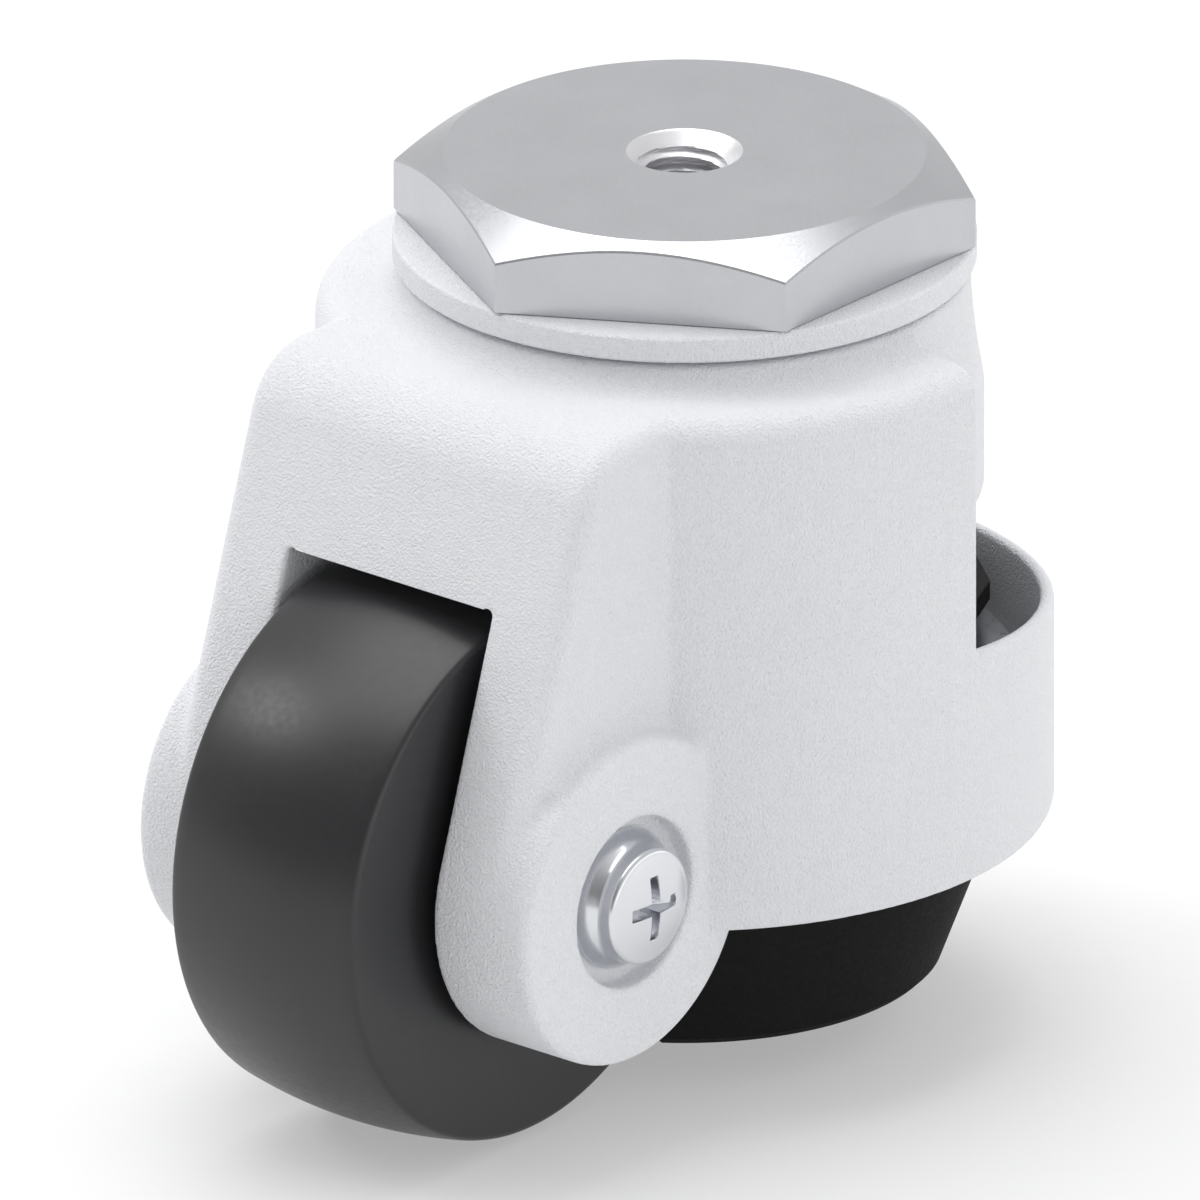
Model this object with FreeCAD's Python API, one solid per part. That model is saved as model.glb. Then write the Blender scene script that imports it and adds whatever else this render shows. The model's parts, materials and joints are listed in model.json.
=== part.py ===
import FreeCAD, Part
import math
import os

# Levelling castor: a swivelling wheel in a cast housing, with a foot that is screwed down
# behind the wheel by an adjusting wheel. Millimetres, +Z up, the castor wheel points to -Y.
# The origin is the centre of the hexagon's top face, which meets the machine it carries.

V = FreeCAD.Vector
UP = V(0, 0, 1)
ALONG_X = V(1, 0, 0)

# Cutting shapes reach this far past the faces they cut
past = 1.0

# Head: hexagon, cover disc and swivel bearing
hex_across_flats = 43.2
hex_height = 7.1
hex_chamfer_radius = 20.4
hex_chamfer_angle = 30.0
thread_core_radius = 3.32
thread_mouth_radius = 4.9
thread_depth = 14.0
spigot_radius = 8.0
disc_radius = 24.7
disc_thick = 2.3
disc_edge = 0.25
disc_gap = 0.5
lip_thick = 0.7
lip_width = 1.0
race_wall = 4.0
race_bore_radius = 10.5
race_thick = 1.8
flange_room = 1.6
flange_thick = 2.2
ball_radius = 1.5
ball_count = 20
ball_bite = 0.6
ball_play = 0.04
seal_play = 0.3

# Castor wheel and its axle
wheel_radius = 24.7
wheel_width = 20.0
wheel_crown_radius = 48.0
wheel_edge = 0.45
wheel_offset = 32.0
axle_height = 52.9
hub_radius = 9.0
hub_proud = 0.5
bush_radius = 6.5
bush_flange_radius = 8.0
bush_flange_thick = 0.8
bush_length = 9.0
axle_radius = 5.0
axle_thread_radius = 3.0
running_play = 0.06
slot_width = 22.4
slot_round = 0.35
wheel_room = 2.0
spacer_radius = 7.5
spacer_play = 0.1

# Cast housing
neck_radius = 24.2
rear_radius = 25.3
rear_flare_height = 8.6
rear_flare_share = 0.36
rear_bottom = 29.9
neck_cove = 2.2
body_radius = 31.2
body_top = 12.2
body_bottom = 58.7
body_shoulder = 2.5
body_foot_edge = 0.6
cheek_end = 1.4
arm_width = 37.8
arm_front_slope = 0.327
arm_top_round = 7.0
arm_side_round = 2.0
ear_radius = 14.45
ear_proud = 2.55
boss_edge = 0.9
boss_cove = 1.2
cove_fade = 0.2
ear_cove = 1.2
sink_radius = 7.5
sink_depth = 1.9
rim_wall = 1.2
rim_front_height = 38.0
rim_dip = 3.5
rim_round = 0.8

# Axle screws
screw_flange_radius = 6.15
screw_flange_thick = 0.9
screw_head_radius = 5.1
screw_head_draft = 0.2
screw_head_edge = 0.5
screw_head_height = 2.7
screw_dome = 0.6
screw_length = 12.0
cross_span = 6.6
cross_width = 1.1
cross_depth = 3.2

# Adjusting wheel, its insert and what carries them
adjuster_offset = 11.0
adjuster_tip_radius = 18.7
adjuster_sides = 14
adjuster_rim_top = 42.4
adjuster_rim_thick = 1.7
adjuster_hub_radius = 11.0
adjuster_room = 0.6
insert_radius = 8.0
insert_sink_radius = 7.0
insert_thread_length = 8.1
washer_thick = 1.2
washer_bore_radius = 7.4
end_play = 0.15
plate_top = 46.8
plate_thick = 2.0
plate_wall = 2.9
plate_play = 0.3
plate_front = 4.2
plate_margin = 1.0
plate_screw_angles = (7.3, 31.9)
plate_screw_insets = (4.6, 6.5)
plate_screw_radius = 1.5
plate_screw_length = 7.0
screw_end_room = 1.0
plate_screw_head_radius = 2.8
plate_screw_head_height = 1.8

# Foot
foot_travel = 12.0
foot_bottom = 72.7
foot_top = 57.6
foot_bottom_radius = 21.8
foot_top_radius = 27.0
foot_edge = 0.6
foot_notch_width = 24.2
foot_notch_back = 5.0
foot_ear_room = 1.8
ear_play = 0.1
core_radius = 20.0
core_thick = 3.0
core_margin = 1.5
spindle_radius = 5.0
spindle_head_radius = 8.0
spindle_head_thick = 3.0
stop_radius = 6.6
stop_thick = 1.2
stop_groove = 0.6
tip_length = 0.6
bore_room = 0.6
guide_radius = 2.0
guide_play = 0.35
guide_spacing = 28.0
guide_length = 24.7
guide_floor = 0.7

# Bearing radii that follow the neck's, with the ball circle in the middle of the races
race_radius = neck_radius - race_wall
flange_radius = race_radius - flange_room
ball_circle_radius = (race_bore_radius + race_radius) / 2

# Heights worked out from the sizes above, all below the hexagon's top face
disc_top_z = -hex_height
disc_bottom_z = disc_top_z - disc_thick
housing_top_z = disc_bottom_z - disc_gap
cap_top_z = housing_top_z - lip_thick
cap_bottom_z = cap_top_z - race_thick
upper_ball_z = cap_bottom_z - (ball_radius - ball_bite)
flange_top_z = upper_ball_z - (ball_radius - ball_bite)
flange_bottom_z = flange_top_z - flange_thick
lower_ball_z = flange_bottom_z - (ball_radius - ball_bite)
race_top_z = lower_ball_z - (ball_radius - ball_bite)
race_bottom_z = race_top_z - race_thick
axle_z = -axle_height
wheel_y = -wheel_offset
slot_half = slot_width / 2
arm_half = arm_width / 2
ear_half = arm_half + ear_proud
pocket_radius = wheel_radius + wheel_room
sink_floor_x = ear_half - sink_depth
washer_bottom_z = -rear_bottom - washer_thick
insert_top_z = washer_bottom_z - end_play
insert_bottom_z = -plate_top + end_play
insert_floor_z = insert_bottom_z + insert_thread_length
stop_bottom_z = insert_floor_z + end_play + foot_travel
stop_top_z = stop_bottom_z + stop_thick
spindle_top_z = stop_top_z + tip_length
bore_top_z = spindle_top_z + bore_room
core_bottom_z = -foot_top - core_thick
spindle_bottom_z = core_bottom_z - spindle_head_thick
rim_inner_radius = body_radius - rim_wall
rim_rear_height = rim_front_height + rim_dip
plate_bottom_z = -plate_top - plate_thick
plate_radius = body_radius - plate_wall
lower_room_radius = plate_radius + plate_play
guide_places = ((guide_spacing / 2, adjuster_offset), (-guide_spacing / 2, adjuster_offset))
plate_screw_places = [
    ((plate_radius - inset) * math.cos(math.radians(angle)),
     -(plate_radius - inset) * math.sin(math.radians(angle)))
    for angle, inset in zip(plate_screw_angles, plate_screw_insets)]


def upright(radius, low, high, x=0.0, y=0.0):
    """Upright cylinder between two heights."""
    return Part.makeCylinder(radius, high - low, V(x, y, low), UP)


def ring(outer, inner, low, high, x=0.0, y=0.0):
    """Upright cylinder with a bore through it."""
    return upright(outer, low, high, x, y).cut(upright(inner, low - past, high + past, x, y))


def axial(radius, start, end):
    """Cylinder along the axle between two places on X."""
    return Part.makeCylinder(radius, end - start, V(start, wheel_y, axle_z), ALONG_X)


def block(x_low, x_high, y_low, y_high, z_low, z_high):
    """Box between two corners."""
    return Part.makeBox(x_high - x_low, y_high - y_low, z_high - z_low, V(x_low, y_low, z_low))


def turned_upright(profile, x=0.0, y=0.0):
    """Solid turned about an upright axis from (radius, height) corners."""
    corners = [V(x + radius, y, height) for radius, height in profile]
    face = Part.Face(Part.makePolygon(corners + corners[:1]))
    return face.revolve(V(x, y, 0), UP, 360)


def turned_on_axle(profile):
    """Solid turned about the axle from (place on X, radius) corners."""
    corners = [V(place, wheel_y, axle_z + radius) for place, radius in profile]
    face = Part.Face(Part.makePolygon(corners + corners[:1]))
    return face.revolve(V(0, wheel_y, axle_z), ALONG_X, 360)


def mirrored(shape):
    """The same shape on the other side of the plane of the wheel."""
    return shape.mirror(V(0, 0, 0), ALONG_X)


def fuse_all(shapes):
    """One solid from shapes that meet."""
    whole = shapes[0].multiFuse(shapes[1:])
    return whole.removeSplitter()


def one_solid(shape):
    """The single solid of a cut or fused shape."""
    return shape.Solids[0] if len(shape.Solids) == 1 else shape


def edges_at(shape, test):
    """Edges whose middle point passes a test."""
    found = []
    for edge in shape.Edges:
        middle = edge.valueAt((edge.FirstParameter + edge.LastParameter) / 2)
        if test(edge, middle):
            found.append(edge)
    return found


def make_hex_fitting():
    """Chamfered hexagon with a threaded hole and the spigot that carries the swivel flange."""
    corner_radius = hex_across_flats / math.sqrt(3)
    corners = []
    for step in range(7):
        angle = math.radians(60 * step - 90)
        corners.append(V(corner_radius * math.cos(angle), corner_radius * math.sin(angle), -hex_height))
    prism = Part.Face(Part.makePolygon(corners)).extrude(V(0, 0, hex_height))
    drop = (corner_radius - hex_chamfer_radius + past) * math.tan(math.radians(hex_chamfer_angle))
    chamfer = turned_upright([
        (0, 0), (hex_chamfer_radius, 0), (corner_radius + past, -drop),
        (corner_radius + past, -hex_height), (0, -hex_height)])
    head = prism.common(chamfer)
    spigot = upright(spigot_radius, flange_bottom_z, -hex_height)
    mouth = thread_mouth_radius - thread_core_radius
    hole = turned_upright([
        (0, past), (thread_mouth_radius, past), (thread_mouth_radius, 0), (thread_core_radius, -mouth),
        (thread_core_radius, -thread_depth), (0, -thread_depth - thread_core_radius / 2)])
    return one_solid(fuse_all([head, spigot]).cut(hole))


def make_cover_disc():
    """Painted disc that hides the top of the swivel bearing."""
    disc = ring(disc_radius, spigot_radius, disc_bottom_z, disc_top_z)
    rims = edges_at(disc, lambda edge, middle: abs(math.hypot(middle.x, middle.y) - disc_radius) < 0.01
                    and edge.Length > disc_radius)
    return disc.makeFillet(disc_edge, rims)


def ball_groove(height):
    """Ring that the balls of one row run in, wider than a ball by the play."""
    path = ball_radius + ball_play
    return Part.makeTorus(ball_circle_radius, path, V(0, 0, height), UP)


def make_ball_row(height, half_step):
    """One row of bearing balls."""
    balls = []
    for index in range(ball_count):
        angle = 2 * math.pi * (index + half_step) / ball_count
        place = V(ball_circle_radius * math.cos(angle), ball_circle_radius * math.sin(angle), height)
        balls.append(Part.makeSphere(ball_radius, place))
    return Part.makeCompound(balls)


def make_swivel_flange():
    """Flange pressed on the spigot, with a ball groove on both sides."""
    flange = ring(flange_radius, spigot_radius, flange_bottom_z, flange_top_z)
    return flange.cut(ball_groove(upper_ball_z)).cut(ball_groove(lower_ball_z))


def make_bearing_cap():
    """Upper race, held under the housing's rolled lip."""
    return ring(race_radius, race_bore_radius, cap_bottom_z, cap_top_z).cut(ball_groove(upper_ball_z))


def make_lower_race():
    """Lower race on the floor of the housing's bearing room."""
    return ring(race_radius, race_bore_radius, race_bottom_z, race_top_z).cut(ball_groove(lower_ball_z))


def make_dust_seal():
    """Felt ring between the spigot and the bearing cap."""
    return ring(race_bore_radius - seal_play, spigot_radius, cap_bottom_z, disc_bottom_z)


def make_wheel():
    """Moulded wheel with a crowned tread, chamfered edges, flat faces and a low hub."""
    half = wheel_width / 2
    drop = wheel_crown_radius - math.sqrt(wheel_crown_radius ** 2 - half ** 2)
    centre = axle_z + wheel_radius - wheel_crown_radius
    left = V(-half, wheel_y, axle_z + wheel_radius - drop)
    right = V(half, wheel_y, axle_z + wheel_radius - drop)
    crown = Part.Arc(left, V(0, wheel_y, centre + wheel_crown_radius), right).toShape()
    bore_left = V(-half, wheel_y, axle_z + bush_radius)
    bore_right = V(half, wheel_y, axle_z + bush_radius)
    sides = Part.makePolygon([right, bore_right, bore_left, left])
    blank = Part.Face(Part.Wire([crown] + sides.Edges)).revolve(V(0, wheel_y, axle_z), ALONG_X, 360)
    shoulders = edges_at(blank, lambda edge, middle: abs(abs(middle.x) - half) < 0.01
                         and edge.Length > 5 * wheel_radius)
    tyre = blank.makeChamfer(wheel_edge, shoulders)
    face = half + hub_proud
    hub = axial(hub_radius, -face, face).cut(axial(bush_radius, -face - past, face + past))
    seat = axial(bush_flange_radius, half - bush_flange_thick + hub_proud, face + past)
    return one_solid(fuse_all([tyre, hub]).cut(seat).cut(mirrored(seat)))


def make_bush():
    """Flanged plain bush, pressed into the right side of the wheel's bore."""
    face = wheel_width / 2 + hub_proud
    sleeve = axial(bush_radius, face - bush_length, face)
    flange = axial(bush_flange_radius, face - bush_flange_thick, face)
    bore = axial(axle_radius + running_play, face - bush_length - past, face + past)
    return one_solid(fuse_all([sleeve, flange]).cut(bore))


def make_spacer():
    """Washer between the right bush and the fork."""
    face = wheel_width / 2 + hub_proud + spacer_play
    return axial(spacer_radius, face, slot_half).cut(axial(axle_radius, face - past, slot_half + past))


def make_axle_sleeve():
    """Tubular axle, threaded at both ends for the axle screws."""
    sleeve = axial(axle_radius, -sink_floor_x, sink_floor_x)
    return sleeve.cut(axial(axle_thread_radius, -sink_floor_x - past, sink_floor_x + past))


def make_axle_screw():
    """Right axle screw: flanged pan head with a cross recess."""
    flange_face = sink_floor_x + screw_flange_thick
    rim = flange_face + screw_head_height
    head_top = rim + screw_dome
    flange = axial(screw_flange_radius, sink_floor_x, flange_face)
    edge = screw_head_edge
    side = turned_on_axle([
        (flange_face, 0), (flange_face, screw_head_radius + screw_head_draft),
        (rim - edge, screw_head_radius),
        (rim, screw_head_radius - edge), (rim, 0)])
    sphere_radius = ((screw_head_radius - edge) ** 2 + screw_dome ** 2) / (2 * screw_dome)
    dome = Part.makeSphere(sphere_radius, V(head_top - sphere_radius, wheel_y, axle_z))
    dome = dome.common(axial(screw_head_radius - edge, rim, head_top + past))
    shank = axial(axle_thread_radius, sink_floor_x - screw_length, sink_floor_x)
    arms = block(0, head_top + past, wheel_y - cross_span / 2, wheel_y + cross_span / 2,
                 axle_z - cross_width / 2, axle_z + cross_width / 2)
    arms = arms.fuse(block(0, head_top + past, wheel_y - cross_width / 2, wheel_y + cross_width / 2,
                           axle_z - cross_span / 2, axle_z + cross_span / 2))
    taper = turned_on_axle([
        (head_top + past, 0), (head_top + past, cross_span / 2), (rim, cross_span / 2),
        (head_top - cross_depth, cross_width), (head_top - cross_depth - cross_width / 2, 0)])
    return one_solid(fuse_all([flange, side, dome, shank]).cut(arms.common(taper)))


def arm_outline():
    """Side outline of fork arm and ear, as a closed wire in the plane X = 0.

    The flat top is joined to the sloping front by a large round. The front runs tangent into
    the ear, and the ear meets the housing's lower edge in a small cove.
    """
    front_angle = math.atan(arm_front_slope)
    reach = V(0, -math.cos(front_angle), math.sin(front_angle) * -1)
    ear_centre = V(0, wheel_y, axle_z)
    tangent = ear_centre + reach * ear_radius
    tangent.z = ear_centre.z + ear_radius * math.sin(front_angle)
    slope = V(0, math.sin(front_angle), math.cos(front_angle))
    corner = tangent + slope * ((-body_top - tangent.z) / slope.z)
    setback = arm_top_round * math.tan((math.pi / 2 - front_angle) / 2)
    top_end = corner + V(0, setback, 0)
    front_start = corner - slope * setback
    round_centre = top_end - V(0, 0, arm_top_round)
    half_turn = (math.pi / 2 - front_angle) / 2
    round_middle = round_centre + V(0, -math.sin(half_turn), math.cos(half_turn)) * arm_top_round
    cove_z = -body_bottom - ear_cove
    cove_run = math.sqrt((ear_radius + ear_cove) ** 2 - (ear_centre.z - cove_z) ** 2)
    cove_centre = V(0, wheel_y + cove_run, cove_z)
    cove_on_ear = ear_centre + (cove_centre - ear_centre) * (ear_radius / (ear_radius + ear_cove))
    cove_start = V(0, cove_centre.y, -body_bottom)
    to_ear = (cove_on_ear - cove_centre).normalize()
    cove_middle = cove_centre + (V(0, 0, 1) + to_ear).normalize() * ear_cove
    bottom_middle = ear_centre - V(0, 0, ear_radius)
    back_top = V(0, 0, -body_top)
    back_bottom = V(0, 0, -body_bottom)
    return Part.Wire([
        Part.LineSegment(back_top, top_end).toShape(),
        Part.Arc(top_end, round_middle, front_start).toShape(),
        Part.LineSegment(front_start, tangent).toShape(),
        Part.Arc(tangent, bottom_middle, cove_on_ear).toShape(),
        Part.Arc(cove_on_ear, cove_middle, cove_start).toShape(),
        Part.LineSegment(cove_start, back_bottom).toShape(),
        Part.LineSegment(back_bottom, back_top).toShape()])


def outline_slab(half_width):
    """The arm outline carried across the castor's width."""
    face = Part.Face(arm_outline())
    face.translate(V(-half_width, 0, 0))
    return face.extrude(V(2 * half_width, 0, 0))


def rounded_slab(half_width, rounding):
    """The arm outline carried across the castor's width, with its side edges rounded."""
    slab = outline_slab(half_width)
    side_edges = edges_at(slab, lambda edge, middle: abs(abs(middle.x) - half_width) < 0.01
                          and middle.y < wheel_y + ear_radius and middle.z > axle_z)
    return slab.makeFillet(rounding, side_edges)


def make_ear_boss():
    """Right ear boss, proud of the arm, with a rounded rim."""
    edge_mid = boss_edge * (1 - math.sqrt(0.5))
    inner_centre = V(0, wheel_y, axle_z)
    inner_rim = V(0, wheel_y, axle_z + ear_radius)
    waist = V(ear_half - boss_edge, wheel_y, axle_z + ear_radius)
    crest = V(ear_half - edge_mid, wheel_y, axle_z + ear_radius - edge_mid)
    face_rim = V(ear_half, wheel_y, axle_z + ear_radius - boss_edge)
    face_centre = V(ear_half, wheel_y, axle_z)
    section = Part.Wire([
        Part.LineSegment(inner_rim, waist).toShape(),
        Part.Arc(waist, crest, face_rim).toShape(),
        Part.LineSegment(face_rim, face_centre).toShape(),
        Part.LineSegment(face_centre, inner_centre).toShape(),
        Part.LineSegment(inner_centre, inner_rim).toShape()])
    return Part.Face(section).revolve(V(0, wheel_y, axle_z), ALONG_X, 360)


def make_boss_cove():
    """Hollow round at the foot of the right ear boss, which fades out at the arm's front."""
    hollow_mid = boss_cove * (1 - math.sqrt(0.5))
    inner = V(0, wheel_y, axle_z + ear_radius - boss_cove)
    outer = V(0, wheel_y, axle_z + ear_radius + boss_cove)
    base = V(arm_half, wheel_y, axle_z + ear_radius + boss_cove)
    hollow = V(arm_half + hollow_mid, wheel_y, axle_z + ear_radius + hollow_mid)
    waist = V(arm_half + boss_cove, wheel_y, axle_z + ear_radius)
    waist_inner = V(arm_half + boss_cove, wheel_y, axle_z + ear_radius - boss_cove)
    section = Part.Wire([
        Part.LineSegment(inner, outer).toShape(),
        Part.LineSegment(outer, base).toShape(),
        Part.Arc(base, hollow, waist).toShape(),
        Part.LineSegment(waist, waist_inner).toShape(),
        Part.LineSegment(waist_inner, inner).toShape()])
    cove = Part.Face(section).revolve(V(0, wheel_y, axle_z), ALONG_X, 360)
    front_angle = math.atan(arm_front_slope)
    forward = V(0, -math.cos(front_angle), math.sin(front_angle))
    along = V(0, math.sin(front_angle), math.cos(front_angle))
    reach = 2 * ear_radius
    fade = [(-boss_cove, -boss_cove), (2 * boss_cove, 2 * boss_cove),
            (2 * boss_cove, reach), (-boss_cove, reach)]
    corners = []
    for out, back in fade:
        depth = ear_radius - arm_side_round - cove_fade - back
        corners.append(V(arm_half + out, wheel_y, axle_z) + forward * depth - along * reach)
    room = Part.Face(Part.makePolygon(corners + corners[:1])).extrude(along * 2 * reach)
    upper = block(0, ear_half, wheel_y - reach, wheel_y + reach, axle_z, axle_z + reach)
    return cove.common(room).common(upper)


def make_front_body():
    """Front half of the round body, with its rounded shoulder and lower edge."""
    drum = upright(body_radius, -body_bottom, -body_top)
    top_rim = edges_at(drum, lambda edge, middle: abs(middle.z + body_top) < 0.01)
    low_rim = edges_at(drum, lambda edge, middle: abs(middle.z + body_bottom) < 0.01)
    drum = drum.makeFillet(body_shoulder, top_rim).makeFillet(body_foot_edge, low_rim)
    reach = body_radius + past
    return drum.common(block(-reach, reach, -reach, cheek_end, -body_bottom - past, 0))


def make_rear_rim():
    """Thin low wall round the back, whose top edge dips towards the rear for the finger."""
    reach = body_radius + past
    dip = rim_dip / (body_radius - cheek_end)
    high = -rim_front_height + dip * (reach + cheek_end)
    low = -rim_front_height - dip * (reach - cheek_end)
    wall = ring(body_radius, rim_inner_radius, -body_bottom, high)
    low_rim = edges_at(wall, lambda edge, middle: abs(middle.z + body_bottom) < 0.01
                       and edge.Length > 2 * math.pi * rim_inner_radius + past)
    wall = wall.makeFillet(body_foot_edge, low_rim)
    wedge = Part.Face(Part.makePolygon([
        V(-reach, -reach, high), V(-reach, reach, low), V(-reach, reach, 0), V(-reach, -reach, 0),
        V(-reach, -reach, high)])).extrude(V(2 * reach, 0, 0))
    wall = wall.cut(wedge)
    top_rim = edges_at(wall, lambda edge, middle: middle.z > -rim_rear_height - past
                       and edge.Length > 2 * math.pi * rim_inner_radius + past)
    wall = wall.makeFillet(rim_round, top_rim)
    return wall.common(block(-reach, reach, cheek_end - past, reach, -body_bottom - past, 0))


def make_neck():
    """Round upper body under the cover disc, flaring a little towards the rear window."""
    flare_top = housing_top_z - neck_cove
    flare_end = flare_top - rear_flare_height
    middle_radius = neck_radius + (rear_radius - neck_radius) * rear_flare_share
    line = [
        Part.LineSegment(V(0, 0, housing_top_z), V(neck_radius, 0, housing_top_z)).toShape(),
        Part.LineSegment(V(neck_radius, 0, housing_top_z), V(neck_radius, 0, flare_top)).toShape(),
        Part.Arc(V(neck_radius, 0, flare_top), V(middle_radius, 0, (flare_top + flare_end) / 2),
                 V(rear_radius, 0, flare_end)).toShape(),
        Part.LineSegment(V(rear_radius, 0, flare_end), V(rear_radius, 0, -rear_bottom)).toShape(),
        Part.LineSegment(V(rear_radius, 0, -rear_bottom), V(0, 0, -rear_bottom)).toShape(),
        Part.LineSegment(V(0, 0, -rear_bottom), V(0, 0, housing_top_z)).toShape()]
    return Part.Face(Part.Wire(line)).revolve(V(0, 0, 0), UP, 360)


def make_neck_cove():
    """Hollow round that leads the front body's flat top up to the neck."""
    rise = housing_top_z + body_top
    top = V(neck_radius, 0, -body_top + rise)
    outer = V(neck_radius + rise, 0, -body_top)
    sag = rise * (1 - math.sqrt(0.5))
    hollow = V(neck_radius + sag, 0, -body_top + sag)
    inside = V(neck_radius - past, 0, -body_top)
    inside_top = V(neck_radius - past, 0, -body_top + rise)
    section = Part.Wire([
        Part.Arc(top, hollow, outer).toShape(),
        Part.LineSegment(outer, inside).toShape(),
        Part.LineSegment(inside, inside_top).toShape(),
        Part.LineSegment(inside_top, top).toShape()])
    cove = Part.Face(section).revolve(V(0, 0, 0), UP, 360)
    reach = body_radius + past
    return cove.common(block(-reach, reach, -reach, cheek_end, -body_bottom, 0))


def housing_rooms():
    """Everything that is hollow in the housing."""
    bearing_room = upright(race_radius, race_bottom_z, cap_top_z)
    lip_opening = upright(race_radius - lip_width, cap_top_z - past, housing_top_z + past)
    pocket = axial(pocket_radius, -slot_half, slot_half)
    pocket = pocket.makeFillet(slot_round, edges_at(
        pocket, lambda edge, middle: abs(abs(middle.x) - slot_half) < 0.01))
    hub_room = upright(adjuster_tip_radius + adjuster_room, -plate_top - past, -rear_bottom,
                       0, adjuster_offset)
    foot_room = upright(lower_room_radius, -body_bottom - past, -plate_top)
    foot_reach = wheel_offset - ear_radius - ear_play
    foot_room = foot_room.common(block(-body_radius, body_radius, -foot_reach, body_radius,
                                       -body_bottom - 2 * past, 0))
    spindle_bore = upright(insert_sink_radius + bore_room, -rear_bottom - past, bore_top_z,
                           0, adjuster_offset)
    axle_bore = axial(axle_radius, -ear_half - past, ear_half + past)
    sink = axial(sink_radius, sink_floor_x, ear_half + past)
    rooms = [bearing_room, lip_opening, pocket, hub_room, foot_room, spindle_bore, axle_bore,
             sink, mirrored(sink)]
    for x, y in plate_screw_places:
        hole = upright(plate_screw_radius, -plate_top - past, -plate_top + plate_screw_length, x, y)
        rooms.extend([hole, mirrored(hole)])
    return rooms


def make_housing():
    """The cast housing: neck, round body, fork with ears, rear rim and its rooms."""
    outside = fuse_all([
        make_neck(), make_front_body(), make_neck_cove(), rounded_slab(arm_half, arm_side_round),
        make_ear_boss(), mirrored(make_ear_boss()), make_boss_cove(), mirrored(make_boss_cove()),
        make_rear_rim()])
    for room in housing_rooms():
        outside = outside.cut(room)
    return one_solid(outside.removeSplitter())


def make_thrust_washer():
    """Steel washer that takes the foot's load into the housing."""
    return ring(adjuster_hub_radius, washer_bore_radius, washer_bottom_z, -rear_bottom,
                0, adjuster_offset)


def make_insert():
    """Threaded brass insert of the adjusting wheel, counterbored for the stop ring."""
    insert = ring(insert_radius, spindle_radius + running_play, insert_bottom_z, insert_top_z,
                  0, adjuster_offset)
    return insert.cut(upright(insert_sink_radius, insert_floor_z, insert_top_z + past,
                              0, adjuster_offset))


def make_adjusting_wheel():
    """Moulded hub with a many-sided rim that the finger turns."""
    corners = []
    for step in range(adjuster_sides + 1):
        angle = 2 * math.pi * (step + 0.5) / adjuster_sides
        corners.append(V(adjuster_tip_radius * math.cos(angle),
                         adjuster_offset + adjuster_tip_radius * math.sin(angle),
                         -adjuster_rim_top - adjuster_rim_thick))
    rim = Part.Face(Part.makePolygon(corners)).extrude(V(0, 0, adjuster_rim_thick))
    hub = upright(adjuster_hub_radius, insert_bottom_z + end_play, insert_top_z - end_play,
                  0, adjuster_offset)
    bore = upright(insert_radius, -plate_top - past, -rear_bottom, 0, adjuster_offset)
    return one_solid(fuse_all([rim, hub]).cut(bore))


def wheel_gap(margin, low):
    """Room for the castor wheel and the ears in the plate and the foot."""
    half = foot_notch_width / 2 + margin
    back = foot_notch_back - margin
    gap = block(-half, half, -body_radius - past, -back, low - past, -plate_top + past)
    ears = axial(ear_radius + foot_ear_room + margin, -body_radius, body_radius)
    return gap.fuse(ears)


def make_bearing_plate():
    """Steel plate under the adjusting wheel, screwed to the housing's cheeks."""
    plate = upright(plate_radius, plate_bottom_z, -plate_top)
    gap = block(-slot_half - plate_margin, slot_half + plate_margin, -body_radius, -plate_front,
                plate_bottom_z - past, -plate_top + past)
    front = block(-body_radius, body_radius, -body_radius, wheel_y + ear_radius + plate_margin,
                  plate_bottom_z - past, -plate_top + past)
    plate = plate.cut(gap).cut(front)
    plate = plate.cut(upright(spindle_radius + bore_room, plate_bottom_z - past, -plate_top + past,
                              0, adjuster_offset))
    for x, y in guide_places:
        plate = plate.cut(upright(guide_radius, plate_bottom_z - past, -plate_top + past, x, y))
    for x, y in plate_screw_places:
        hole = upright(plate_screw_radius, plate_bottom_z - past, -plate_top + past, x, y)
        plate = plate.cut(hole).cut(mirrored(hole))
    return one_solid(plate)


def make_plate_screws():
    """Four small screws that hold the bearing plate."""
    screws = []
    for x, y in plate_screw_places:
        shank_top = -plate_top + plate_screw_length - screw_end_room
        shank = upright(plate_screw_radius, plate_bottom_z, shank_top, x, y)
        head = upright(plate_screw_head_radius, plate_bottom_z - plate_screw_head_height,
                       plate_bottom_z, x, y)
        screw = fuse_all([shank, head])
        screws.extend([one_solid(screw), one_solid(mirrored(screw))])
    return Part.makeCompound(screws)


def make_guide_pins():
    """Two pins in the plate that keep the foot from turning."""
    pins = [upright(guide_radius, -plate_top - guide_length, -plate_top, x, y)
            for x, y in guide_places]
    return Part.makeCompound(pins)


def make_foot_core():
    """Steel disc in the top of the foot that the spindle is fixed to."""
    core = upright(core_radius, core_bottom_z, -foot_top)
    core = core.cut(wheel_gap(core_margin, core_bottom_z))
    core = core.cut(upright(spindle_radius, core_bottom_z - past, -foot_top + past, 0, adjuster_offset))
    for x, y in guide_places:
        core = core.cut(upright(guide_radius + guide_play, core_bottom_z - past, -foot_top + past, x, y))
    return one_solid(core)


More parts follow.
